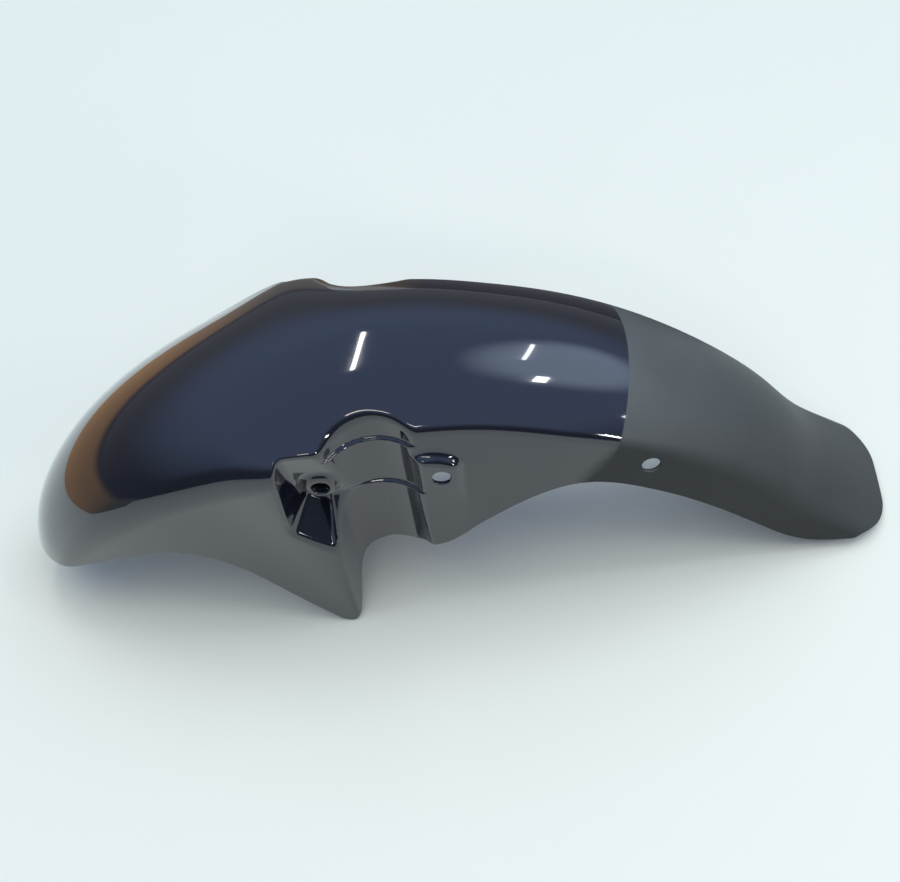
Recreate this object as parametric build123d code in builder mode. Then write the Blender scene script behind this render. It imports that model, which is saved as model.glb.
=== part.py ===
"""One-piece moulded front mudguard for a motorcycle, in millimetres.

Nose towards +X, left side towards +Y, up is +Z.  While it is drawn, X = 0 is the line of
the fork legs and Z = 0 is the floor under the two lower tabs.  At the end the finished
shell is moved along X so that the middle of its footprint stands on the origin.
"""
import os
from math import cos, hypot, radians, sin, sqrt, tan

from build123d import *

# wall and crown
wall = 3.0                      # moulded wall all over
crown_radius = 346.0            # crown line, side view
crown_centre_x = -12.0          # centre of the crown line, behind the fork legs
crown_centre_z = -145.0         # and below the floor
body_half_width = 62.0          # flank behind the fork legs, at the shoulder
foot_radius = 120.0             # how far in towards the centre the sections are drawn

# fork leg channel, one on each side, in three bands stepping out downwards
channel_radius = 34.0
channel_forward = 1.5           # channel's middle ahead of the fork legs
channel_depth = 55.0            # channel wall to middle plane, top band
channel_step = 2.0              # each lower band stands out by this
channel_top_band = 166.0        # floor to the ledge under the top band
channel_mid_band = 126.0        # floor to the ledge under the middle band
channel_foot = 67.5             # floor to the lower edge in the channel
flare_depth = 60.0              # flat wall in the lowest band to middle plane
flare_forward = 22.5            # front end of that wall, ahead of the fork legs
flare_lean = 29.0               # its front wall, degrees off square
flare_corner = 6.0

# fork bolt faces
lug_face = 71.5                 # bolt faces to middle plane
lug_height = 140.0              # floor to the fork bolt holes
lug_spacing = 75.0              # front hole to rear hole
lug_hole = 11.5                 # hole diameter
boss = 19.0                     # round boss on the platform, diameter
rear_lug_top = 13.5             # hole centre up to the rear lug's ledge
rear_lug_slope = 30.0           # degrees by which that ledge climbs inwards
rear_lug_back = 13.0            # hole centre to the rear lug's rear side
rear_lug_corner = 9.0
rear_lug_drop = 50.0            # the rear lug runs out into the flank above this

# pocket ahead of the channel, with the platform of the front bolt hole in its upper half
pocket_skin = 82.0              # skin beside the pocket to middle plane, for the sizes below
pocket_front = 61.5             # its front edge, ahead of the fork legs
pocket_front_lean = 25.0        # front wall, degrees off square
pocket_foot = 86.0              # floor to its lower edge, beside the ridge
pocket_foot_rise = 40.0         # degrees by which that edge climbs forwards
pocket_ramp = 45.0              # degrees by which its lower wall climbs inwards
pocket_corner = 8.0
pocket_floor = 57.0             # deepest wall to middle plane
platform_face = 66.5            # platform to middle plane, at the height of the hole
platform_lean = 13.5            # degrees by which it leans in downwards
platform_drop = 13.0            # hole centre down to the platform's lower edge
ridge_front = 34.5              # ridge between channel and pocket, ahead of the fork legs
ridge_lean = 27.0               # its crest, degrees off upright

# stay hole on each side of the tail
stay_back = 167.0               # behind the fork legs
stay_height = 119.0
stay_hole = 11.5

# lower edge and tail end
nose_forward = 255.0            # fork legs to nose
nose_low = 38.5                 # floor to the nose's lower edge
front_arch_forward = 139.0      # highest point of the lower edge ahead of the fork
front_arch_height = 80.5
tab_forward = 38.0              # lower tab tip, ahead of the fork legs
arch_back = 121.0               # highest point of the lower edge behind the fork
arch_height = 113.5
tail_foot = 8.0                 # floor to the tail's lower edge
tail_back = 331.0               # fork legs to tail tip
tail_half_width = 53.5
tail_corner = 38.0

reach = 400.0                   # longer than anything it has to cut

# Radial stations from the nose to the tail flap: angle from upright, crown line above or
# below the crown radius, arch radius, half width against the body's, shoulder radius, draft.
stations = [
    (62, -40, 40, -26.0, 14, 4.0),
    (55, -20, 54, -16.0, 20, 4.0),
    (47, -8, 70, -7.0, 24, 3.5),
    (38, -2, 88, 1.5, 28, 3.0),
    (28, 0, 106, 9.0, 28, 2.0),
    (20, 1, 124, 16.0, 26, 0.2),
    (12, 1, 160, 21.5, 18, -1.2),
    (4, 1, 114, 8.0, 14, 3.0),
    (-4, 0, 102, 2.0, 12, 6.0),
    (-11, -1, 94, 0.0, 12, 6.0),
    (-19, -1, 87, -0.5, 12, 6.0),
    (-28, -2, 82, -3.5, 14, 6.0),
    (-38, -4, 76, -7.0, 22, 5.0),
    (-47, -7, 76, -10.0, 24, 4.0),
    (-55, -10, 94, -11.5, 20, 3.0),
    (-60, -4, 135, -12.0, 15, 3.0),
    (-65, 7, 190, -12.0, 11, 3.0),
    (-70, 22, 240, -12.0, 9, 3.0),
]

front_hole = lug_spacing / 2
rear_hole = -lug_spacing / 2


def section_points(rise, arch, extra_width, shoulder, draft, inset):
    """Left half of one section: the arch, the shoulder and the flank, moved in by inset."""
    half_width = body_half_width + extra_width
    top = crown_radius + rise
    arch_centre = Vector(0, top - arch)
    corner = Vector(half_width, arch_centre.Y + sqrt(arch ** 2 - half_width ** 2))
    down = Vector(sin(radians(draft)), -cos(radians(draft)))
    out = Vector(cos(radians(draft)), sin(radians(draft)))
    base = corner - out * shoulder - arch_centre
    along = base.dot(down)
    gap = base.dot(base) - (arch - shoulder) ** 2
    shoulder_centre = arch_centre + base + down * (-along - sqrt(along ** 2 - gap))
    lean = (shoulder_centre - arch_centre).normalized()
    bisector = (lean + out).normalized()
    crown_point = Vector(0, top - inset)
    shoulder_start = shoulder_centre + lean * (shoulder - inset)
    shoulder_middle = shoulder_centre + bisector * (shoulder - inset)
    shoulder_end = shoulder_centre + out * (shoulder - inset)
    foot = shoulder_end + down * ((shoulder_end.Y - foot_radius) / cos(radians(draft)))
    return crown_point, shoulder_start, shoulder_middle, shoulder_end, foot


def mirrored(point):
    return Vector(-point.X, point.Y)


def body(inset):
    """The closed body through all stations, its skin moved in by inset."""
    with BuildPart() as solid:
        for angle, rise, arch, extra_width, shoulder, draft in stations:
            lean = radians(angle)
            radial = Plane(
                origin=(crown_centre_x, 0, crown_centre_z),
                x_dir=(0, 1, 0),
                z_dir=(cos(lean), 0, -sin(lean)),
            )
            crown, start, middle, end, foot = section_points(
                rise, arch, extra_width, shoulder, draft, inset
            )
            with BuildSketch(radial):
                with BuildLine():
                    ThreePointArc(mirrored(start), crown, start)
                    ThreePointArc(start, middle, end)
                    Line(end, foot)
                    Line(foot, mirrored(foot))
                    Line(mirrored(foot), mirrored(end))
                    ThreePointArc(mirrored(end), mirrored(middle), mirrored(start))
                make_face()
        loft()
    return solid.part


def channel(grow):
    """Left fork leg channel, made larger by grow: three upright round bands, and a flare
    that opens the front of the lowest one."""
    axis = channel_depth + channel_radius
    bands = [
        (channel_radius, channel_top_band, reach),
        (channel_radius - channel_step, channel_mid_band, channel_top_band),
        (channel_radius - 2 * channel_step, -reach, channel_mid_band),
    ]
    slope = tan(radians(flare_lean))
    flat_wall = flare_depth - grow
    corner = flare_forward + grow * (hypot(1, slope) - slope)
    far = reach / 4
    with BuildPart() as solid:
        for radius, low, high in bands:
            with Locations((channel_forward, axis, low - grow)):
                Cylinder(
                    radius + grow, high - low + grow, align=(Align.CENTER, Align.CENTER, Align.MIN)
                )
        with BuildSketch(Plane.XY.offset(channel_mid_band + grow)) as flare:
            with BuildLine():
                Polyline(
                    (channel_forward, flat_wall),
                    (corner, flat_wall),
                    (corner + (far - flat_wall) * slope, far),
                    (channel_forward, far),
                    close=True,
                )
            make_face()
            inner_corner = flare.vertices().group_by(Axis.Y)[0].sort_by(Axis.X)[-1]
            fillet(inner_corner, flare_corner + grow)
        extrude(amount=-reach)
    return solid.part


def side_plane(distance):
    """Side view plane at this distance left of the middle plane: X across, Z up."""
    return Plane.XZ.offset(-distance)


def pocket(grow):
    """Left pocket ahead of the channel, narrow at its floor and wide at the skin, made
    larger by grow."""
    top = crown_centre_z + crown_radius + grow
    front_slope = tan(radians(pocket_front_lean))
    rise = tan(radians(pocket_foot_rise))
    ramp = tan(radians(pocket_ramp))
    with BuildPart() as solid:
        for distance in (pocket_floor - grow, reach / 4):
            out = distance - pocket_skin
            front = pocket_front + out * front_slope + grow * hypot(1, front_slope)
            back_foot = pocket_foot - ridge_front * rise - out * ramp - grow * hypot(1, rise, ramp)
            with BuildSketch(side_plane(distance)) as outline:
                with BuildLine():
                    Polyline(
                        (0, top), (front, top), (front, back_foot + front * rise), (0, back_foot),
                        close=True,
                    )
                make_face()
                lower_front = outline.vertices().group_by(Axis.X)[-1].sort_by(Axis.Y)[0]
                fillet(lower_front, pocket_corner + grow)
        loft(ruled=True)
    return solid.part


def platform(inset):
    """What stands in the left pocket: the platform of the front bolt hole, and the ridge
    below it, whose crest runs out to the skin.  Their skin is moved in by inset."""
    lean = tan(radians(platform_lean))
    crest = tan(radians(ridge_lean))
    top = crown_centre_z + crown_radius + reach / 10
    edge = lug_height - platform_drop
    low = edge + inset
    face = platform_face - inset * hypot(1, lean)
    face_low = face + (low - lug_height) * lean
    face_top = face + (top - lug_height) * lean
    crest_top = platform_face - platform_drop * lean - inset * hypot(1, crest)
    far = reach / 4
    with BuildPart() as solid:
        with BuildSketch(Plane.YZ):
            with BuildLine():
                Polyline((0, low), (face_low, low), (face_top, top), (0, top), close=True)
            make_face()
        extrude(amount=far)
        with BuildSketch(Plane.YZ):
            with BuildLine():
                Polyline(
                    (0, low), (crest_top - inset * crest, low),
                    (crest_top + far * crest, edge - far), (0, edge - far),
                    close=True,
                )
            make_face()
        extrude(amount=ridge_front - inset)
    return solid.part


def rear_lug(inset):
    """Left lug behind the channel, standing out to the lug face under a sloping ledge, its
    skin moved in by inset."""
    slope = tan(radians(rear_lug_slope))
    low = lug_height - rear_lug_drop
    face = lug_face - inset
    ledge = lug_height + rear_lug_top - inset * (hypot(1, slope) - slope)
    with BuildPart() as solid:
        with BuildSketch(Plane.YZ):
            with BuildLine():
                Polyline((0, low), (face, low), (face, ledge), (0, ledge + face * slope), close=True)
            make_face()
        extrude(amount=rear_hole - rear_lug_back + inset)
        rear_corner = solid.edges().filter_by(Axis.Z).group_by(Axis.X)[0].sort_by(Axis.Y)[-1]
        fillet(rear_corner, rear_lug_corner - inset)
    return solid.part


def both_sides(left):
    return left, mirror(left, about=Plane.XZ)


def solid_form(inset):
    """The whole form with its skin moved in by inset: body, lugs, pockets and channels."""
    with BuildPart() as recess:
        add(pocket(inset))
        add(platform(inset), mode=Mode.SUBTRACT)
        add(channel(inset))
    recesses = both_sides(recess.part)
    rear_lugs = both_sides(rear_lug(inset))
    with BuildPart() as form:
        add(body(inset))
        add(rear_lugs)
        add(recesses, mode=Mode.SUBTRACT)
    return form.part


def front_boss():
    """Left round boss that carries the front bolt face."""
    with BuildPart() as solid:
        with BuildSketch(side_plane(platform_face - wall)):
            with Locations((front_hole, lug_height)):
                Circle(boss / 2)
        extrude(amount=-(lug_face - platform_face + wall))
    return solid.part


def side_outline():
    """Everything above the lower edge, as seen from the side."""
    nose_edge = nose_forward + reach / 10
    tail_edge = -tail_back - 2 * wall
    with BuildPart() as solid:
        with BuildSketch(Plane.XZ):
            with BuildLine():
                front_edge = Spline(
                    (nose_edge, nose_low - 10),
                    (nose_forward - 15, nose_low + 5),
                    (nose_forward - 81, nose_low + 34),
                    (front_arch_forward, front_arch_height),
                    (tab_forward + 64, front_arch_height - 17),
                    (tab_forward + 31, 28),
                    (tab_forward + 8, 3),
                )
                tab_tip = ThreePointArc(
                    front_edge @ 1, (tab_forward, 0), (tab_forward - 8, 6)
                )
                tab_back = Spline(
                    tab_tip @ 1,
                    (tab_forward - 12, 34),
                    (tab_forward - 21, channel_foot - 6),
                    (0, channel_foot),
                )
                rear_edge = Spline(
                    tab_back @ 1,
                    (-14, channel_foot + 0.5),
                    (-26, channel_foot + 6.5),
                    (-35, channel_foot + 8),
                    (-46, channel_foot + 13.5),
                    (-70, channel_foot + 28),
                    (-arch_back + 25, arch_height - 5),
                    (-arch_back, arch_height),
                    (-arch_back - 39, arch_height - 14),
                    (-arch_back - 91, arch_height - 52.5),
                    (-arch_back - 122, tail_foot + 24),
                    (-arch_back - 147, tail_foot + 6),
                    (-arch_back - 175, tail_foot),
                    (-arch_back - 193, tail_foot - 2),
                    (tail_edge, tail_foot - 16),
                )
                Polyline(
                    rear_edge @ 1, (tail_edge, reach), (nose_edge, reach), front_edge @ 0
                )
            make_face()
        extrude(amount=reach / 2, both=True)
    return solid.part


def tail_outline():
    """Everything ahead of the rounded tail end, as seen from above."""
    with BuildPart() as solid:
        with BuildSketch(Plane.XY):
            with Locations((-tail_back + tail_corner, 0)):
                Rectangle(2 * reach, reach, align=(Align.MIN, Align.CENTER))
            with Locations((-tail_back, 0)):
                RectangleRounded(
                    4 * tail_corner, 2 * tail_half_width, tail_corner,
                    align=(Align.MIN, Align.CENTER),
                )
        extrude(amount=reach, both=True)
    return solid.part


outer_form = solid_form(0)
inner_form = solid_form(wall)
bosses = both_sides(front_boss())

with BuildPart() as drawn:
    add(outer_form)
    add(inner_form, mode=Mode.SUBTRACT)
    add(bosses)
    add(side_outline(), mode=Mode.INTERSECT)
    add(tail_outline(), mode=Mode.INTERSECT)
    with BuildSketch(Plane.XZ):
        with Locations((front_hole, lug_height), (rear_hole, lug_height)):
            Circle(lug_hole / 2)
        with Locations((-stay_back, stay_height)):
            Circle(stay_hole / 2)
    extrude(amount=reach / 2, both=True, mode=Mode.SUBTRACT)

box = drawn.part.bounding_box()
footprint_middle = (box.min.X + box.max.X) / 2
with BuildPart() as mudguard_shell:
    with Locations((-footprint_middle, 0, -box.min.Z)):
        add(drawn.part)

mudguard_shell.part.label = "mudguard_shell"
os.makedirs("parts", exist_ok=True)
export_step(mudguard_shell.part, "parts/mudguard_shell.step")
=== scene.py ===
"""Front mudguard of a motorcycle, dressed for the camera.

The shell is drawn once more from the sizes of the solid model, as a field of distances to its
skin with every edge rounded.  A fine mesh is laid on that field, cut off along the lower edge,
the tail end and the bolt holes, given its wall, and closed with a rounded rim.
Lengths are in millimetres until the mesh is made, and X = 0 is the line of the fork legs.
"""

import math

import bpy
import numpy as np
from mathutils import Matrix, Vector


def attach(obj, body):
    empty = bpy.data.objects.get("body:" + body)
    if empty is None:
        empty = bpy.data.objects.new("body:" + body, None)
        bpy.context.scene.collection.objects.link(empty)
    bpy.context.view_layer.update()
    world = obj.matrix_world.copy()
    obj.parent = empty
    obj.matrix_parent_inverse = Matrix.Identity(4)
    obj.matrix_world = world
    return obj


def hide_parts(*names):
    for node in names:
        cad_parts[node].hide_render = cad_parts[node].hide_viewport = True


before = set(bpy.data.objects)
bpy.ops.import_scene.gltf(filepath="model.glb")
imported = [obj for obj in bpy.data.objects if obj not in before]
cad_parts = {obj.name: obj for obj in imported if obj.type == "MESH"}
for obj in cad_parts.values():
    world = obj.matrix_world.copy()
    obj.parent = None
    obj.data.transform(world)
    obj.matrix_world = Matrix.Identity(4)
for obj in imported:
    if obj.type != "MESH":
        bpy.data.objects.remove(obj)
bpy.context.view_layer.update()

# Sizes of the solid model
wall = 3.0
crown_radius = 346.0
crown_centre = (-12.0, -145.0)
body_half_width = 62.0
channel_radius = 34.0
channel_forward = 1.5
channel_depth = 55.0
channel_step = 2.0
channel_bands = (126.0, 166.0)
channel_foot = 67.5
flare_depth = 60.0
flare_forward = 22.5
flare_slope = math.tan(math.radians(29))
lug_face = 71.5
lug_height = 140.0
lug_spacing = 75.0
lug_hole = 11.5
boss = 19.0
rear_lug_top = 13.5
rear_lug_back = 13.0
pocket_skin = 82.0
pocket_front = 61.5
pocket_front_slope = math.tan(math.radians(25))
pocket_foot = 86.0
pocket_foot_rise = math.tan(math.radians(40))
pocket_ramp = math.tan(math.radians(45))
pocket_floor = 57.0
platform_face = 66.5
platform_slope = math.tan(math.radians(13.5))
platform_drop = 13.0
ridge_front = 34.5
ridge_slope = math.tan(math.radians(27))
stay_back = 167.0
stay_height = 119.0
stay_hole = 11.5
nose_forward = 255.0
nose_low = 38.5
front_arch_forward = 139.0
front_arch_height = 80.5
tab_forward = 38.0
arch_back = 121.0
arch_height = 113.5
tail_foot = 8.0
tail_back = 331.0
tail_half_width = 53.5
tail_corner = 38.0

# Where the fork line and the drawing's floor stand in the finished frame
fork_line = 37.342
floor_lift = 0.048

# Rounding of the moulded edges: over how much of the skin each crease is spread
rim_round = 1.5
rim_front_round = 4.0
ledge_run = 2.2
flare_round = 9.0
pocket_edge_round = 2.5
pocket_foot_round = 0.8
pocket_corner_round = 3.5
platform_round = 3.5
ridge_round = 3.0
boss_round = 3.0
boss_foot_round = 7.0
lug_corner_round = 7.0
lug_round = 3.0
lug_blend = 3.0

# Where the rounding grows: up the channel, forwards along its rim, and near the pocket's foot
rim_heights = (168.0, 182.0)
rim_front_span = (-8.0, 22.0)
pocket_foot_span = (-10.0, -2.0)

# The ledge over the rear lug: the steepness of its hollow, its tilt along X and its depth
lug_ledge_rise = 0.9
lug_ledge_tilt = 0.3
lug_ledge_depth = 13.0

# The mesh: the rim's bulge past the cut, the level of the outer skin in the field, the share of
# the wall from which the inner skin settles, and the grid as runs of start, end and spacing
edge_bulge = 1.1
skin_level = -0.05
inner_start = 0.4
grid_along = (
    (-338, -184, 4.4),
    (-184, -150, 2.2),
    (-150, -56, 4.2),
    (-56, 72, 1.75),
    (72, 264, 4.4),
)
grid_beside = (
    (0, 46, 3.6),
    (46, 90, 1.75),
)
grid_up = (
    (-4, 56, 3.4),
    (56, 122, 1.9),
    (122, 130, 0.9),
    (130, 162, 1.75),
    (162, 170, 0.9),
    (170, 206, 2.0),
)

# Working numbers: the slabs in which the grid is worked out, the points on a curve for each of
# its corners, the step that finds the way to an edge, and the least slope of the field
grid_slabs = 8
points_per_corner = 8
edge_probe = 0.3
least_slope = 0.3
nearly_zero = 1e-9
mm_per_m = 1000

# The masked line and the lower limit of the sprayed paint, in metres
mask_angle = math.radians(25.2)
mask_softness = 0.0006
spray_slope = 0.95
spray_wander = 0.016
spray_fade = (0.017, 0.034)

# Painted top light on bare plastic: paler where it faces up, as light from above would make it, and
# less further behind the masked line
top_light_facing = (0.0, 0.95)
top_light_most = 0.8
top_light_reach = 0.17
top_light_least = 0.40
top_light_uneven = 0.4

# The finish: colours, roughness, and the strength of the grain and of the paint's ripple
paint_colour = (0.0085, 0.0090, 0.0165, 1)
fleck_colour = (0.022, 0.023, 0.030, 1)
fleck_range = (0.70, 0.80)
fleck_share = 0.25
bare_colour = (0.018, 0.020, 0.021, 1)
# The next colour is painted light: a paler shade painted on the upward faces of the bare plastic.
painted_top_light_colour = (0.118, 0.129, 0.129, 1)
inside_colours = (0.030, 0.032, 0.033, 1), (0.048, 0.051, 0.052, 1)
floor_colours = (0.805, 0.825, 0.745, 1), (0.82, 0.84, 0.76, 1)
haze_range = (0.35, 0.75)
haze_roughness = (0.05, 0.12)
grain_range = (0.3, 0.7)
bare_roughness = (0.44, 0.56)
inside_roughness = (0.50, 0.64)
coat_roughness = 0.02
coat_index = 1.6
plastic_index = 1.5
plastic_shine = 0.3
grain_share = 0.5
ripple_share = 0.05
skin_bump = 0.35
inside_bump = 0.3
bump_depth = 0.0002

# The floor, in metres
floor_size = 24
floor_drop = 0.0002
floor_roughness = 0.9
floor_shine = 0.1

# The room's light, by direction
overhead_colour = (0.34, 0.47, 0.76, 1)
overhead_range = (0.25, 0.65)
glow_colour = (1.3, 1.65, 2.2, 1)
glow_towards = (-0.56, -0.22, 0.80)
glow_range = (0.92, 0.98)
far_side_colour = (0.20, 0.21, 0.23, 1)
near_side_colour = (0.06, 0.075, 0.08, 1)
side_range = (-0.75, 0.35)
key_power = 1.22
key_spread = math.radians(60)
key_colour = (1.0, 0.935, 0.66)
key_turn = (math.radians(-4), math.radians(2), 0)

# The glowing card ahead of the nose, seen only in gloss, that paints a warm reflection on the nose,
# in metres: its ends and heights, and where its colours change
nose_card_place = (0.55, -0.30, 0)
nose_card_turn = math.radians(49.5)
nose_card_ends = (-0.6, 1.3)
nose_card_heights = (0.01, 0.21)
nose_reflection_far_range = (-0.45, -0.10)
nose_reflection_near_range = (0.35, 0.80)
nose_reflection_top_range = (0.16, 0.21)
# The card's colours glow as a painted reflection on the nose.
nose_reflection_far_colour = (0.24, 0.23, 0.22, 1)
nose_reflection_warm_colour = (0.60, 0.37, 0.20, 1)
nose_reflection_near_colour = (0.20, 0.22, 0.18, 1)
nose_reflection_top_colour = (0.11, 0.11, 0.12, 1)

# The glowing card on the floor beyond the crown, seen only in gloss, that paints a dark reflection
# along the far edge, in metres: its corners, and where its colours change
far_card_corners = ((-5.0, -9.0), (0.9, -9.0), (0.20, -0.06), (-0.16, -0.06))
far_card_lift = 0.002
far_reflection_warm_range = (0.0, 0.10)
far_reflection_edge_range = (0.09, 0.20)
# The card's colours glow as a painted reflection along the far edge.
far_reflection_dark_colour = (0.09, 0.09, 0.105, 1)
far_reflection_warm_colour = (0.17, 0.125, 0.085, 1)
far_reflection_edge_colour = (0.45, 0.47, 0.46, 1)

# The photograph's camera: turns, distance in metres, and the point it looks at, in millimetres
# ahead of the fork line and above the floor
camera_azimuth = math.radians(-5.5)
camera_elevation = math.radians(51.0)
camera_roll = math.radians(9.2)
camera_distance = 1.050
camera_target = (-39.373, 87.273)
camera_sensor = 36.0
camera_lens = 63.0
camera_clip = 0.01

# Radial stations from the tail flap to the nose: angle from upright, crown line above or
# below the crown radius, arch radius, half width against the body's, shoulder radius, draft
stations = np.array([
    (-70, 22, 240, -12.0, 9, 3.0),
    (-65, 7, 190, -12.0, 11, 3.0),
    (-60, -4, 135, -12.0, 15, 3.0),
    (-55, -10, 94, -11.5, 20, 3.0),
    (-47, -7, 76, -10.0, 24, 4.0),
    (-38, -4, 76, -7.0, 22, 5.0),
    (-28, -2, 82, -3.5, 14, 6.0),
    (-19, -1, 87, -0.5, 12, 6.0),
    (-11, -1, 94, 0.0, 12, 6.0),
    (-4, 0, 102, 2.0, 12, 6.0),
    (4, 1, 114, 8.0, 14, 3.0),
    (12, 1, 160, 21.5, 18, -1.2),
    (20, 1, 124, 16.0, 26, 0.2),
    (28, 0, 106, 9.0, 28, 2.0),
    (38, -2, 88, 1.5, 28, 3.0),
    (47, -8, 70, -7.0, 24, 3.5),
    (55, -20, 54, -16.0, 20, 4.0),
    (62, -40, 40, -26.0, 14, 4.0),
])

front_hole = lug_spacing / 2
rear_hole = -lug_spacing / 2


def natural_spline(knots, values):
    """A function that follows the values smoothly and runs straight at both ends."""
    step = np.diff(knots)
    slope = np.diff(values, axis=0) / step[:, None]
    count = len(knots)
    system = np.eye(count)
    right = np.zeros_like(values)
    for i in range(1, count - 1):
        system[i, i - 1:i + 2] = step[i - 1], 2 * (step[i - 1] + step[i]), step[i]
        right[i] = 6 * (slope[i] - slope[i - 1])
    bend = np.linalg.solve(system, right)

    def curve(at):
        at = np.clip(at, knots[0], knots[-1])
        i = np.clip(np.searchsorted(knots, at) - 1, 0, count - 2)
        gone = (at - knots[i])[..., None]
        left = (knots[i + 1] - at)[..., None]
        width = step[i][..., None]
        straight = (values[i] * left + values[i + 1] * gone) / width
        before = bend[i] * (left ** 3 / width - width * left)
        after = bend[i + 1] * (gone ** 3 / width - width * gone)
        return straight + (before + after) / 6

    return curve


shape = stations[:, 1:].copy()
shape[:, 1] = 1 / shape[:, 1]
station_curve = natural_spline(stations[:, 0], shape)


def smooth_max(a, b, reach):
    """The larger of two distances, with the crease between them rounded over reach."""
    near = np.maximum(reach - np.abs(a - b), 0) / reach
    return np.maximum(a, b) + near * near * reach / 4


def smooth_min(a, b, reach):
    """The smaller of two distances, rounded in the same way."""
    return -smooth_max(-a, -b, reach)


def ramp(value, start, end):
    """0 before start, 1 after end, and an even rise in between."""
    t = np.clip((value - start) / (end - start), 0, 1)
    return t * t * (3 - 2 * t)


def body_distance(x, side, z):
    """Distance to the plain body: crown arch, round shoulder and drafted flank."""
    across = x - crown_centre[0]
    above = z - crown_centre[1]
    values = station_curve(np.degrees(np.arctan2(across, above)))
    rise, bend, extra, shoulder, draft = np.moveaxis(values, -1, 0)
    arch = 1 / bend
    half_width = body_half_width + extra
    centre = crown_radius + rise - arch
    out_y, out_r = np.cos(np.radians(draft)), np.sin(np.radians(draft))
    base_y = half_width - out_y * shoulder
    base_r = np.sqrt(arch ** 2 - half_width ** 2) - out_r * shoulder
    along = base_y * out_r - base_r * out_y
    gap = base_y ** 2 + base_r ** 2 - (arch - shoulder) ** 2
    slide = -along - np.sqrt(along ** 2 - gap)
    shoulder_y = base_y + out_r * slide
    shoulder_r = base_r - out_y * slide
    radius = np.hypot(across, above) - centre
    crown = np.hypot(side, radius) - arch
    from_y, from_r = side - shoulder_y, radius - shoulder_r
    corner = np.hypot(from_y, from_r) - shoulder
    flank = from_y * out_y + from_r * out_r - shoulder
    over_crown = shoulder_y * radius - shoulder_r * side > 0
    on_flank = out_y * from_r - out_r * from_y < 0
    return np.where(over_crown, crown, np.where(on_flank, flank, corner))


def channel_distance(x, side, z):
    """Distance to the fork leg channel: its wall steps out at each ledge, and the lowest
    band is flared in front."""
    radius = channel_radius - 2 * channel_step
    for ledge in channel_bands:
        radius = radius + channel_step * ramp(z, ledge - ledge_run / 2, ledge + ledge_run / 2)
    bands = np.hypot(x - channel_forward, side - channel_depth - channel_radius) - radius
    front = (x - flare_forward - (side - flare_depth) * flare_slope) / math.hypot(1, flare_slope)
    flare = smooth_max(front, flare_depth - side, flare_round)
    flare = smooth_max(flare, channel_forward - x, ridge_round)
    flare = smooth_max(flare, z - channel_bands[0], ledge_run)
    return smooth_min(bands, flare, ridge_round)


def rear_lug_distance(x, side, z):
    """Distance to the lug behind the channel, under a ledge that tilts back and is hollowed
    most above the hole."""
    outline = smooth_max(rear_hole - rear_lug_back - x, side - lug_face, lug_corner_round)
    rise = lug_ledge_rise * np.maximum(1 - ((x - rear_hole) / rear_lug_back) ** 2, 0)
    inward = np.clip(lug_face - side, 0, lug_ledge_depth)
    ledge = lug_height + rear_lug_top + (x - rear_hole) * lug_ledge_tilt + inward * rise
    lug = smooth_max(outline, (z - ledge) / np.hypot(1, rise), lug_round)
    return smooth_max(lug, x, lug_round)


def pocket_foot_distance(x, side, z):
    """Distance to the pocket's lower wall, which climbs inwards and forwards."""
    height = pocket_foot + (x - ridge_front) * pocket_foot_rise + (pocket_skin - side) * pocket_ramp
    return (height - z) / math.hypot(1, pocket_foot_rise, pocket_ramp)


def platform_distance(x, side, z):
    """Distance to what stands in the pocket: platform, boss and the ridge below them."""
    edge = lug_height - platform_drop
    face = (side - platform_face - (z - lug_height) * platform_slope) / math.hypot(1, platform_slope)
    platform = smooth_max(face, edge - z, platform_round)
    crest_top = platform_face - platform_drop * platform_slope
    crest = (side - crest_top - (edge - z) * ridge_slope) / math.hypot(1, ridge_slope)
    ridge = smooth_max(crest, x - ridge_front, ridge_round)
    round_boss = np.hypot(x - front_hole, z - lug_height) - boss / 2
    round_boss = smooth_max(round_boss, side - lug_face, boss_round)
    return smooth_min(smooth_min(platform, ridge, platform_round), round_boss, boss_foot_round)


def pocket_distance(x, side, z):
    """Distance to the pocket ahead of the channel."""
    beyond = x - pocket_front - (side - pocket_skin) * pocket_front_slope
    front = beyond / math.hypot(1, pocket_front_slope)
    space = smooth_max(front, pocket_foot_distance(x, side, z), pocket_corner_round)
    space = smooth_max(space, pocket_floor - side, platform_round)
    space = smooth_max(space, -x, ridge_round)
    return smooth_max(space, -platform_distance(x, side, z), platform_round)


def skin_distance(x, y, z):
    """Distance to the outer skin: below zero in the moulding or in the space under it."""
    side = np.abs(y)
    skin = body_distance(x, side, z)
    skin = smooth_min(skin, rear_lug_distance(x, side, z), lug_blend)
    foot_near = ramp(pocket_foot_distance(x, side, z), *pocket_foot_span)
    pocket_round = pocket_edge_round + pocket_foot_round * foot_near
    skin = smooth_max(skin, -pocket_distance(x, side, z), pocket_round)
    high = ramp(z, *rim_heights)
    channel_round = ridge_round + high * (rim_round + rim_front_round * ramp(x, *rim_front_span))
    return smooth_max(skin, -channel_distance(x, side, z), channel_round)


def gradient(field, points, step=0.1):
    """Direction in which a field grows, at each point."""
    parts = []
    for axis in np.eye(3) * step:
        ahead = field(*(points + axis).T)
        behind = field(*(points - axis).T)
        parts.append((ahead - behind) / (2 * step))
    return np.stack(parts, axis=1)


def unit(vectors):
    """The same directions, each of length one."""
    return vectors / np.maximum(np.linalg.norm(vectors, axis=1, keepdims=True), nearly_zero)


def settle(points, level, rounds, longest):
    """Moves points along the field until the skin is at the level."""
    for _ in range(rounds):
        slope = gradient(skin_distance, points)
        off = skin_distance(*points.T) - level
        move = off / np.maximum(np.linalg.norm(slope, axis=1), least_slope)
        points = points - unit(slope) * np.clip(move, -longest, longest)[:, None]
    return points


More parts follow.
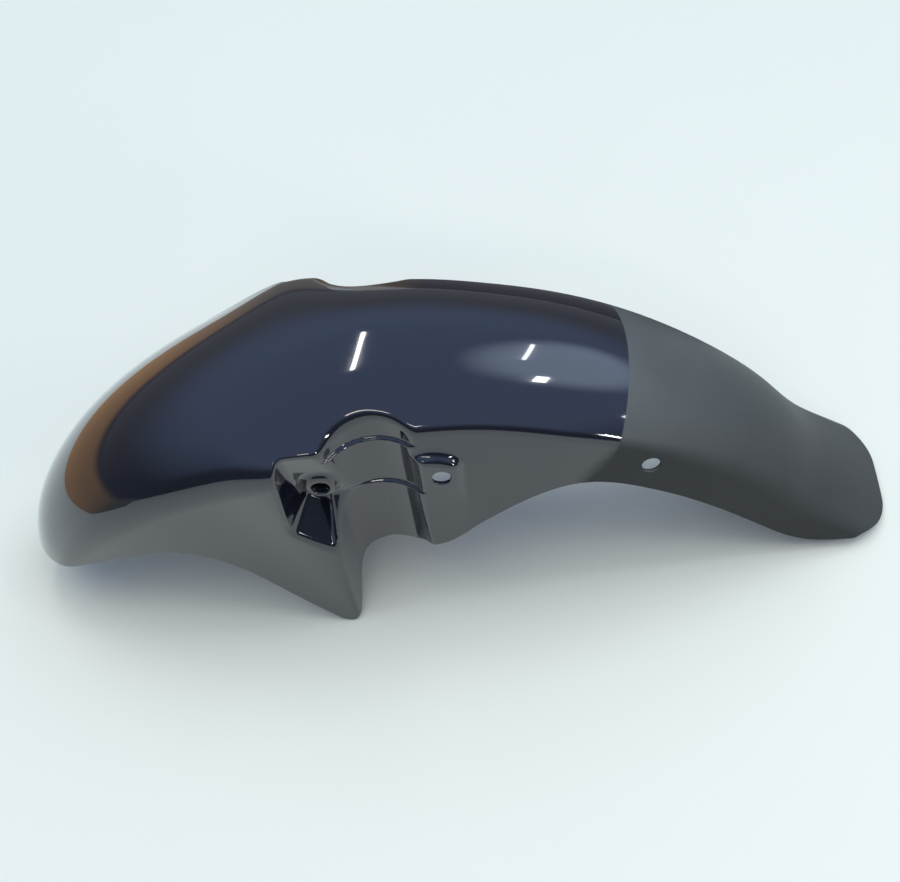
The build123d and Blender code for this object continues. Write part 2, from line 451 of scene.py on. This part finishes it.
def graded(runs):
    """Grid lines along one axis: each run is (start, end, spacing)."""
    lines = []
    for start, end, spacing in runs:
        count = round((end - start) / spacing)
        lines.append(np.linspace(start, end, count + 1)[:-1])
    return np.append(np.concatenate(lines), runs[-1][1])


def net(xs, ys, zs):
    """Points and four-sided faces of the surface where the skin distance is zero."""
    field = np.concatenate([
        skin_distance(slab[:, None, None], ys[None, :, None], zs[None, None, :])
        for slab in np.array_split(xs, grid_slabs)
    ])
    lines = (xs, ys, zs)
    cells = tuple(len(line) - 1 for line in lines)
    total = np.zeros((int(np.prod(cells)), 3))
    count = np.zeros(len(total))
    crossings = []
    for axis in range(3):
        low = np.take(field, range(cells[axis]), axis)
        high = np.take(field, range(1, cells[axis] + 1), axis)
        at = np.argwhere((low < 0) != (high < 0))
        start, end = low[tuple(at.T)], high[tuple(at.T)]
        points = np.stack([lines[i][at[:, i]] for i in range(3)], axis=1)
        span = np.diff(lines[axis])[at[:, axis]]
        points[:, axis] += span * start / (start - end)
        first, second = [i for i in range(3) if i != axis]
        corners = []
        for back_first, back_second in ((1, 1), (0, 1), (0, 0), (1, 0)):
            cell = at.copy()
            cell[:, first] -= back_first
            cell[:, second] -= back_second
            good = np.all((cell >= 0) & (cell < cells), axis=1)
            nearest = np.clip(cell, 0, np.array(cells) - 1)
            flat = np.where(good, np.ravel_multi_index(nearest.T, cells), -1)
            for i in range(3):
                total[:, i] += np.bincount(flat[good], points[good, i], len(total))
            count += np.bincount(flat[good], minlength=len(total))
            corners.append(flat)
        faces = np.stack(corners, axis=1)
        turned = (start < 0) == (axis == 1)
        faces[turned] = faces[turned][:, ::-1]
        crossings.append(faces[np.all(faces >= 0, axis=1)])
    faces = np.concatenate(crossings)
    used = np.unique(faces)
    points = total[used] / count[used][:, None]
    return points, np.searchsorted(used, faces)


def relax(points, faces, rounds):
    """Evens out the spacing of the points along the skin."""
    ends = np.concatenate([faces[:, [i, (i + 1) % 4]] for i in range(4)])
    ends = np.concatenate([ends, ends[:, ::-1]])
    share = np.maximum(np.bincount(ends[:, 0], minlength=len(points)), 1)[:, None]
    for _ in range(rounds):
        others = points[ends[:, 1]].T
        total = np.stack([np.bincount(ends[:, 0], part, len(points)) for part in others], axis=1)
        normal = unit(gradient(skin_distance, points))
        pull = total / share - points
        pull -= normal * np.sum(pull * normal, axis=1, keepdims=True)
        points = settle(points + pull / 2, skin_level, rounds=1, longest=0.8)
    return points


def through(*corners):
    """Closely spaced points on a smooth curve through these corners."""
    corners = np.array(corners, float)
    gone = np.append(0, np.cumsum(np.linalg.norm(np.diff(corners, axis=0), axis=1)))
    return natural_spline(gone, corners)(np.linspace(0, gone[-1], points_per_corner * len(corners)))


def lower_edge():
    """The lower edge in the side view, from ahead of the nose to behind the tail."""
    front = through(
        (nose_forward + 40, nose_low - 10),
        (nose_forward - 15, nose_low + 5),
        (nose_forward - 81, nose_low + 34),
        (front_arch_forward, front_arch_height),
        (tab_forward + 64, front_arch_height - 17),
        (tab_forward + 31, 28),
        (tab_forward + 8, 3),
    )
    tip = through((tab_forward + 8, 3), (tab_forward, 0.2), (tab_forward - 8, 6))
    channel = through(
        (tab_forward - 8, 6),
        (tab_forward - 12, 34),
        (tab_forward - 21, channel_foot - 6),
        (0, channel_foot),
    )
    rear = through(
        (0, channel_foot),
        (-14, channel_foot + 0.5),
        (-26, channel_foot + 6.5),
        (-35, channel_foot + 8),
        (-46, channel_foot + 13.5),
        (-70, channel_foot + 28),
        (-arch_back + 25, arch_height - 5),
        (-arch_back, arch_height),
        (-arch_back - 39, arch_height - 14),
        (-arch_back - 91, arch_height - 52.5),
        (-arch_back - 122, tail_foot + 24),
        (-arch_back - 147, tail_foot + 6),
        (-arch_back - 175, tail_foot),
        (-arch_back - 193, tail_foot - 2),
        (-tail_back - 6, tail_foot - 16),
    )
    return np.concatenate([front, tip[1:], channel[1:], rear[1:]])


edge_line = lower_edge()


def above_edge(x, z):
    """Distance above the lower edge in the side view, below zero under it."""
    spots = np.stack([x, z], axis=1)
    start, end = edge_line[:-1], edge_line[1:]
    along = end - start
    nearest = np.full(len(spots), np.inf)
    crossed = np.zeros(len(spots), bool)
    for a, d, b in zip(start, along, end):
        share = np.clip((spots - a) @ d / (d @ d), 0, 1)
        nearest = np.minimum(nearest, np.linalg.norm(spots - a - share[:, None] * d, axis=1))
        spans = (a[0] > x) != (b[0] > x)
        crossed ^= spans & (z < a[1] + d[1] * (x - a[0]) / (d[0] if d[0] else nearly_zero))
    return np.where(crossed, -nearest, nearest)


def kept(x, y, z):
    """Distance inside all the cut edges: lower edge, rounded tail end and bolt holes."""
    room = above_edge(x, z)
    behind = np.maximum(-tail_back + tail_corner - x, 0)
    beside = np.maximum(np.abs(y) - tail_half_width + tail_corner, 0)
    tail = np.where(behind > 0, tail_corner - np.hypot(behind, beside), np.inf)
    room = np.minimum(room, tail)
    for forward, height, bore in (
        (front_hole, lug_height, lug_hole),
        (rear_hole, lug_height, lug_hole),
        (-stay_back, stay_height, stay_hole),
    ):
        room = np.minimum(room, np.hypot(x - forward, z - height) - bore / 2)
    return room


def towards_edge(points, normals):
    """Direction along the skin that leads out over the nearest cut edge."""
    out = -gradient(kept, points, edge_probe)
    out -= normals * np.sum(out * normals, axis=1, keepdims=True)
    return unit(out)


def to_edge(points, rounds):
    """Moves points along the skin to where the distance kept is the rim's bulge."""
    for _ in range(rounds):
        normals = unit(gradient(skin_distance, points))
        points = points + towards_edge(points, normals) * (kept(*points.T) - edge_bulge)[:, None]
        points = settle(points, skin_level, rounds=1, longest=0.5)
    return points


def turned(triangles, first):
    """The triangles with the given corner of each brought to the front."""
    return triangles[np.arange(len(triangles))[:, None], (first[:, None] + [0, 1, 2]) % 3]


def trim(points, faces, snap):
    """Cuts the mesh off where the distance kept falls to the rim's bulge."""
    room = kept(*points.T) - edge_bulge
    close = np.abs(room) < snap
    points = points.copy()
    points[close] = to_edge(points[close], rounds=3)
    room[close] = 0.0
    diagonal = np.linalg.norm(points[faces[:, 0]] - points[faces[:, 2]], axis=1)
    other = np.linalg.norm(points[faces[:, 1]] - points[faces[:, 3]], axis=1)
    faces = np.where((diagonal > other)[:, None], np.roll(faces, -1, axis=1), faces)
    triangles = np.concatenate([faces[:, [0, 1, 2]], faces[:, [0, 2, 3]]])
    inside = room[triangles] >= 0
    number = inside.sum(axis=1)
    pieces = [triangles[number == 3]]
    lone = turned(triangles[number == 1], np.argmax(inside[number == 1], axis=1))
    pair = turned(triangles[number == 2], np.argmin(inside[number == 2], axis=1))
    wanted = np.concatenate([lone[:, [0, 1]], lone[:, [0, 2]], pair[:, [1, 0]], pair[:, [2, 0]]])
    keys, where = np.unique(wanted, axis=0, return_inverse=True)
    where = where.reshape(-1)
    start, end = room[keys[:, 0]], room[keys[:, 1]]
    share = (start / (start - end))[:, None]
    cuts = points[keys[:, 0]] * (1 - share) + points[keys[:, 1]] * share
    names = np.where(start == 0, keys[:, 0], len(points) + np.arange(len(keys)))[where]
    first, second, third, fourth = np.split(names, np.cumsum([len(lone), len(lone), len(pair)]))
    pieces.append(np.stack([lone[:, 0], first, second], axis=1))
    pieces.append(np.stack([third, pair[:, 1], pair[:, 2]], axis=1))
    pieces.append(np.stack([third, pair[:, 2], fourth], axis=1))
    triangles = np.concatenate(pieces)
    flat = (triangles == np.roll(triangles, 1, axis=1)).any(axis=1)
    triangles = triangles[~flat]
    points = np.concatenate([points, to_edge(cuts, rounds=2)])
    used = np.unique(triangles)
    return points[used], np.searchsorted(used, triangles)


def open_edges(triangles):
    """Edges with a face on one side only, in the direction that face takes them."""
    ends = np.concatenate([triangles[:, [0, 1]], triangles[:, [1, 2]], triangles[:, [2, 0]]])
    size = triangles.max() + 1
    there = ends[:, 0] * size + ends[:, 1]
    back = ends[:, 1] * size + ends[:, 0]
    return ends[~np.isin(there, back)]


def closed_shell(points, triangles, segments):
    """Adds the inner skin and the rounded rim, and returns points, normals, faces and which
    faces are on the inner skin."""
    outward = unit(gradient(skin_distance, points))
    inner = settle(points - outward * wall * inner_start, -wall, rounds=8, longest=0.6)
    inward = -unit(gradient(skin_distance, inner))
    count = len(points)
    edges = open_edges(triangles)
    rim = np.unique(edges)
    middle = (points[rim] + inner[rim]) / 2
    half = (points[rim] - inner[rim]) / 2
    out = towards_edge(points[rim], outward[rim])
    thick = np.linalg.norm(half, axis=1, keepdims=True)
    rows = [rim]
    all_points = [points, inner]
    all_normals = [outward, inward]
    for i in range(1, segments):
        turn = math.pi * i / segments
        all_points.append(middle + half * math.cos(turn) + out * edge_bulge * math.sin(turn))
        lean = half / thick * math.cos(turn) * edge_bulge + out * thick * math.sin(turn)
        all_normals.append(unit(lean))
        rows.append(2 * count + (i - 1) * len(rim) + np.arange(len(rim)))
    rows.append(count + rim)
    start, end = np.searchsorted(rim, edges[:, 0]), np.searchsorted(rim, edges[:, 1])
    bands = []
    for above, below in zip(rows[:-1], rows[1:]):
        bands.append(np.stack([above[end], above[start], below[start]], axis=1))
        bands.append(np.stack([above[end], below[start], below[end]], axis=1))
    faces = np.concatenate([triangles] + bands + [triangles[:, ::-1] + count])
    is_inner = np.zeros(len(faces), bool)
    is_inner[-len(triangles):] = True
    return np.concatenate(all_points), np.concatenate(all_normals), faces, is_inner


def shell_mesh():
    """The finished mudguard as one mesh, in metres, in the frame of the solid model."""
    beside = graded(grid_beside)
    ys = np.concatenate([-beside[:0:-1], beside])
    points, faces = net(graded(grid_along), ys, graded(grid_up))
    points = settle(points, skin_level, rounds=3, longest=1.0)
    points = relax(points, faces, rounds=3)
    points = settle(points, skin_level, rounds=2, longest=0.5)
    points, triangles = trim(points, faces, snap=0.5)
    points, normals, faces, is_inner = closed_shell(points, triangles, segments=6)
    points = (points + (fork_line, 0, floor_lift)) / mm_per_m
    mesh = bpy.data.meshes.new("mudguard")
    mesh.from_pydata(points.tolist(), [], faces.tolist())
    mesh.polygons.foreach_set("use_smooth", np.ones(len(faces), bool))
    mesh.polygons.foreach_set("material_index", is_inner.astype(np.int32))
    mesh.normals_split_custom_set_from_vertices(normals.tolist())
    mesh.update()
    return mesh


class Nodes:
    """Short ways to add and join shader nodes."""

    def __init__(self, tree):
        self.tree = tree
        tree.nodes.clear()

    def add(self, kind, **settings):
        node = self.tree.nodes.new(kind)
        for name, value in settings.items():
            setattr(node, name, value)
        return node

    def feed(self, socket, source):
        """Sets a socket to a number or colour, or joins another node's output to it."""
        if isinstance(source, bpy.types.NodeSocket):
            self.tree.links.new(source, socket)
        else:
            socket.default_value = source

    def feed_all(self, sockets, sources):
        for socket, source in zip(sockets, sources):
            self.feed(socket, source)

    def split(self, vector):
        """The three parts of a vector."""
        node = self.add("ShaderNodeSeparateXYZ")
        self.feed(node.inputs[0], vector)
        return node.outputs

    def math(self, operation, *inputs, clamp=False):
        node = self.add("ShaderNodeMath", operation=operation, use_clamp=clamp)
        self.feed_all(node.inputs, inputs)
        return node.outputs[0]

    def noise(self, place, scale, detail):
        node = self.add("ShaderNodeTexNoise")
        self.feed(node.inputs["Vector"], place)
        node.inputs["Scale"].default_value = scale
        node.inputs["Detail"].default_value = detail
        return node.outputs["Fac"]

    def range(self, value, start, end, low=0.0, high=1.0, smooth=False):
        """Low up to start, high from end on, and a straight or smooth change in between."""
        kind = "SMOOTHSTEP" if smooth else "LINEAR"
        node = self.add("ShaderNodeMapRange", interpolation_type=kind)
        self.feed_all(node.inputs, (value, start, end, low, high))
        return node.outputs[0]

    def blend(self, share, first, second):
        """A mix of two colours; a mix node has sockets for numbers and vectors before them."""
        node = self.add("ShaderNodeMix", data_type="RGBA")
        self.feed_all((node.inputs[0], node.inputs[6], node.inputs[7]), (share, first, second))
        return node.outputs[2]

    def blend_numbers(self, share, first, second):
        node = self.add("ShaderNodeMix", data_type="FLOAT")
        self.feed_all((node.inputs[0], node.inputs[2], node.inputs[3]), (share, first, second))
        return node.outputs[0]

    def bump(self, height, strength):
        node = self.add("ShaderNodeBump")
        node.inputs["Strength"].default_value = strength
        node.inputs["Distance"].default_value = bump_depth
        self.feed(node.inputs["Height"], height)
        return node.outputs["Normal"]


def new_material(name, shader):
    """A material with one shader, and the place on the object that its patterns follow."""
    material = bpy.data.materials.new(name)
    material.use_nodes = True
    nodes = Nodes(material.node_tree)
    output = nodes.add("ShaderNodeOutputMaterial")
    surface = nodes.add(shader)
    nodes.feed(output.inputs["Surface"], surface.outputs[0])
    place = nodes.add("ShaderNodeTexCoord").outputs["Object"]
    return material, nodes, surface, place


def plastic_grain(nodes, place):
    """Fine moulded grain, and a slow unevenness under it."""
    fine = nodes.noise(place, scale=1500, detail=3)
    slow = nodes.noise(place, scale=26, detail=3)
    return fine, slow


def paint_cover(nodes, place):
    """1 on paint and 0 on bare plastic, and the distance ahead of the masked line."""
    x, _, z = nodes.split(place)
    along = nodes.math("SUBTRACT", x, (fork_line + crown_centre[0]) / mm_per_m)
    above = nodes.math("SUBTRACT", z, crown_centre[1] / mm_per_m)
    ahead = nodes.math("MULTIPLY", along, math.cos(mask_angle))
    ahead = nodes.math("MULTIPLY_ADD", above, math.sin(mask_angle), ahead)
    masked = nodes.range(ahead, -mask_softness, mask_softness, smooth=True)
    uneven = nodes.noise(place, scale=60, detail=4)
    wander = nodes.math("MULTIPLY_ADD", uneven, spray_wander, -spray_wander / 2)
    height = nodes.math("MULTIPLY_ADD", z, spray_slope, nodes.math("ADD", x, wander))
    sprayed = nodes.range(height, *spray_fade, smooth=True)
    return nodes.math("MULTIPLY", masked, sprayed), ahead


def painted_top_light_cover(nodes, slow, ahead):
    """How much painted top light the bare plastic gets: paler where it faces up, as if lit from
    above.
    """
    # Painted top light: faces that point up are painted paler, as light from above would make them.
    _, _, facing = nodes.split(nodes.add("ShaderNodeNewGeometry").outputs["Normal"])
    upward = nodes.range(facing, *top_light_facing, high=top_light_most, smooth=True)
    near = nodes.range(ahead, -top_light_reach, 0.0, low=top_light_least)
    uneven = nodes.math("MULTIPLY_ADD", slow, top_light_uneven, 1 - top_light_uneven / 2)
    return nodes.math("MULTIPLY", nodes.math("MULTIPLY", upward, near), uneven, clamp=True)


def skin_material():
    """Gloss black paint on the front, and bare charcoal plastic behind the masked line, painted
    lighter where it faces up.
    """
    material, nodes, surface, place = new_material("painted_skin", "ShaderNodeBsdfPrincipled")
    painted, ahead = paint_cover(nodes, place)
    fine, slow = plastic_grain(nodes, place)
    # Bare plastic is painted lighter where it faces up: painted top light.
    bare = nodes.blend(painted_top_light_cover(nodes, slow, ahead), bare_colour, painted_top_light_colour)
    flecks = nodes.range(nodes.noise(place, scale=420, detail=2), *fleck_range, high=fleck_share)
    paint = nodes.blend(flecks, paint_colour, fleck_colour)
    nodes.feed(surface.inputs["Base Color"], nodes.blend(painted, bare, paint))
    haze = nodes.range(nodes.noise(place, scale=34, detail=5), *haze_range, *haze_roughness)
    grain = nodes.range(fine, *grain_range, *bare_roughness)
    nodes.feed(surface.inputs["Roughness"], nodes.blend_numbers(painted, grain, haze))
    nodes.feed(surface.inputs["Coat Weight"], painted)
    surface.inputs["Coat Roughness"].default_value = coat_roughness
    surface.inputs["Coat IOR"].default_value = coat_index
    surface.inputs["IOR"].default_value = plastic_index
    surface.inputs["Specular IOR Level"].default_value = plastic_shine
    bumps = nodes.math("MULTIPLY", fine, grain_share)
    ripple = nodes.math("MULTIPLY", nodes.noise(place, scale=260, detail=2), ripple_share)
    height = nodes.blend_numbers(painted, bumps, ripple)
    nodes.feed(surface.inputs["Normal"], nodes.bump(height, skin_bump))
    return material


def inside_material():
    """Bare charcoal plastic under the mudguard, rougher than outside."""
    material, nodes, surface, place = new_material("bare_inside", "ShaderNodeBsdfPrincipled")
    fine, slow = plastic_grain(nodes, place)
    nodes.feed(surface.inputs["Base Color"], nodes.blend(slow, *inside_colours))
    nodes.feed(surface.inputs["Roughness"], nodes.range(fine, *grain_range, *inside_roughness))
    nodes.feed(surface.inputs["Normal"], nodes.bump(fine, inside_bump))
    return material


def add_floor():
    """A plain pale floor, a hair below the part."""
    material, nodes, surface, place = new_material("pale_floor", "ShaderNodeBsdfPrincipled")
    soft = nodes.noise(place, scale=3, detail=2)
    nodes.feed(surface.inputs["Base Color"], nodes.blend(soft, *floor_colours))
    surface.inputs["Roughness"].default_value = floor_roughness
    surface.inputs["Specular IOR Level"].default_value = floor_shine
    bpy.ops.mesh.primitive_plane_add(size=floor_size, location=(0, 0, -floor_drop))
    floor = bpy.context.object
    floor.name = "floor"
    floor.data.materials.append(material)


def set_card(name, corners, material):
    """A card that belongs to the stage, and that only gloss shows."""
    mesh = bpy.data.meshes.new(name)
    mesh.from_pydata(corners, [], [(0, 1, 2, 3)])
    mesh.materials.append(material)
    card = bpy.data.objects.new(name, mesh)
    bpy.context.collection.objects.link(card)
    card.visible_camera = False
    card.visible_diffuse = False
    card.visible_shadow = False
    return card


def add_nose_reflection_card():
    """A low glowing card ahead of the nose that paints a reflection on the gloss, warm in the middle
    and dull towards both ends.
    """
    # Its glow is a painted reflection: the card is seen only in gloss.
    material, nodes, shine, place = new_material("card", "ShaderNodeEmission")
    along, _, up = nodes.split(place)
    far = nodes.range(along, *nose_reflection_far_range, smooth=True)
    near = nodes.range(along, *nose_reflection_near_range, smooth=True)
    top = nodes.range(up, *nose_reflection_top_range, smooth=True)
    colour = nodes.blend(far, nose_reflection_far_colour, nose_reflection_warm_colour)
    colour = nodes.blend(near, colour, nose_reflection_near_colour)
    colour = nodes.blend(top, colour, nose_reflection_top_colour)
    nodes.feed(shine.inputs["Color"], colour)
    start, end = nose_card_ends
    low, high = nose_card_heights
    corners = [(start, 0, low), (end, 0, low), (end, 0, high), (start, 0, high)]
    card = set_card("card", corners, material)
    card.location = nose_card_place
    card.rotation_euler = (0, 0, nose_card_turn)


def add_far_reflection_card():
    """A glowing card lying on the floor beyond the crown, seen only in gloss, that paints a dark
    reflection with a warm band and a pale edge, so that the far edge stays dark.
    """
    # Its glow is a painted reflection: the card is seen only in gloss.
    material, nodes, shine, place = new_material("far_reflection_card", "ShaderNodeEmission")
    along, _, _ = nodes.split(place)
    warm = nodes.range(along, *far_reflection_warm_range, smooth=True)
    edge = nodes.range(along, *far_reflection_edge_range, smooth=True)
    colour = nodes.blend(warm, far_reflection_dark_colour, far_reflection_warm_colour)
    colour = nodes.blend(edge, colour, far_reflection_edge_colour)
    nodes.feed(shine.inputs["Color"], colour)
    set_card("far_reflection_card", [(x, y, far_card_lift) for x, y in far_card_corners], material)


def add_key():
    """Wide, soft daylight from overhead, even over the whole floor and not mirrored in gloss."""
    data = bpy.data.lights.new("key", "SUN")
    data.energy = key_power
    data.angle = key_spread
    data.color = key_colour
    lamp = bpy.data.objects.new("key", data)
    bpy.context.collection.objects.link(lamp)
    lamp.rotation_euler = key_turn
    lamp.visible_glossy = False


def turned_to(right, up, back, place):
    """Where a lamp or camera stands, from its own three directions."""
    return Matrix.Translation(place) @ Matrix((right, up, back)).transposed().to_4x4()


def add_light(name, place, target, along, width, length, power, colour=(1.0, 1.0, 1.0)):
    """A soft rectangular lamp turned to a target, its length along a direction; in metres."""
    data = bpy.data.lights.new(name, "AREA")
    data.shape = "RECTANGLE"
    data.size = width
    data.size_y = length
    data.energy = power
    data.color = colour
    lamp = bpy.data.objects.new(name, data)
    bpy.context.collection.objects.link(lamp)
    back = (Vector(place) - Vector(target)).normalized()
    right = Vector(along).cross(back).normalized()
    lamp.matrix_world = turned_to(right, back.cross(right), back, place)
    lamp.visible_camera = False


def add_lamps():
    """The lamps that the gloss mirrors, and those that pick out its edges."""
    add_light(
        "strip", place=(0.366, -0.875, 1.885), target=(0.06, 0, 0.2), along=(0.07, 0.89, 0.45),
        width=0.035, length=1.0, power=3.5,
    )
    add_light(
        "window", place=(-1.01, 0.12, 1.94), target=(-0.07, 0.04, 0.18), along=(0.2, 1, 0),
        width=0.11, length=0.16, power=1.7, colour=(0.92, 0.96, 1.0),
    )
    add_light(
        "tube", place=(-0.89, -0.72, 1.93), target=(-0.06, 0, 0.19), along=(0.1, 1, 0.2),
        width=0.035, length=0.55, power=0.9, colour=(0.95, 0.98, 1.0),
    )
    add_light(
        "glint", place=(-1.3, 1.4, 0.75), target=(0.08, 0.07, 0.11), along=(0, 0, 1),
        width=0.12, length=0.30, power=3.5,
    )
    add_light(
        "rim", place=(-1.67, 0.60, 1.08), target=(0.03, 0.06, 0.18), along=(1, 1, 0),
        width=0.25, length=0.5, power=4, colour=(1.0, 0.95, 0.92),
    )
    add_light(
        "rim_top", place=(0.11, 1.44, 1.34), target=(0.04, 0.05, 0.19), along=(0, 1, 1),
        width=0.6, length=0.12, power=2.5, colour=(1.0, 0.90, 0.82),
    )


def add_world():
    """A plain room: a soft bluish glow overhead, paler low on the far side than behind the
    camera."""
    world = bpy.data.worlds.new("room")
    world.use_nodes = True
    bpy.context.scene.world = world
    nodes = Nodes(world.node_tree)
    output = nodes.add("ShaderNodeOutputWorld")
    back = nodes.add("ShaderNodeBackground")
    nodes.feed(output.inputs["Surface"], back.outputs[0])
    direction = nodes.add("ShaderNodeTexCoord").outputs["Generated"]
    _, across, upward = nodes.split(direction)
    near = nodes.range(across, *side_range, smooth=True)
    low = nodes.blend(near, far_side_colour, near_side_colour)
    towards = nodes.add("ShaderNodeVectorMath", operation="DOT_PRODUCT")
    nodes.feed_all(towards.inputs, (direction, glow_towards))
    glow = nodes.range(towards.outputs["Value"], *glow_range, smooth=True)
    high = nodes.blend(glow, overhead_colour, glow_colour)
    overhead = nodes.range(upward, *overhead_range, smooth=True)
    nodes.feed(back.inputs["Color"], nodes.blend(overhead, low, high))


def add_camera():
    """The photograph's place: above the left side, a little behind the fork, and tilted."""
    forward, height = camera_target
    target = Vector((fork_line + forward, 0.0, height)) / mm_per_m
    back = Vector((
        math.sin(camera_azimuth) * math.cos(camera_elevation),
        math.cos(camera_azimuth) * math.cos(camera_elevation),
        math.sin(camera_elevation),
    ))
    level = (-back).cross(Vector((0, 0, 1))).normalized()
    upright = level.cross(-back)
    right = level * math.cos(camera_roll) - upright * math.sin(camera_roll)
    up = level * math.sin(camera_roll) + upright * math.cos(camera_roll)
    data = bpy.data.cameras.new("camera")
    data.sensor_width = camera_sensor
    data.lens = camera_lens
    data.clip_start = camera_clip
    camera = bpy.data.objects.new("camera", data)
    bpy.context.collection.objects.link(camera)
    camera.matrix_world = turned_to(right, up, back, target + back * camera_distance)
    bpy.context.scene.camera = camera


piece = bpy.data.objects.new("mudguard", shell_mesh())
bpy.context.collection.objects.link(piece)
piece.data.materials.append(skin_material())
piece.data.materials.append(inside_material())
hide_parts("mudguard_shell")
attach(piece, "root")

add_floor()
add_nose_reflection_card()
add_far_reflection_card()
add_world()
add_key()
add_lamps()
bpy.context.scene.view_settings.view_transform = "Standard"
add_camera()
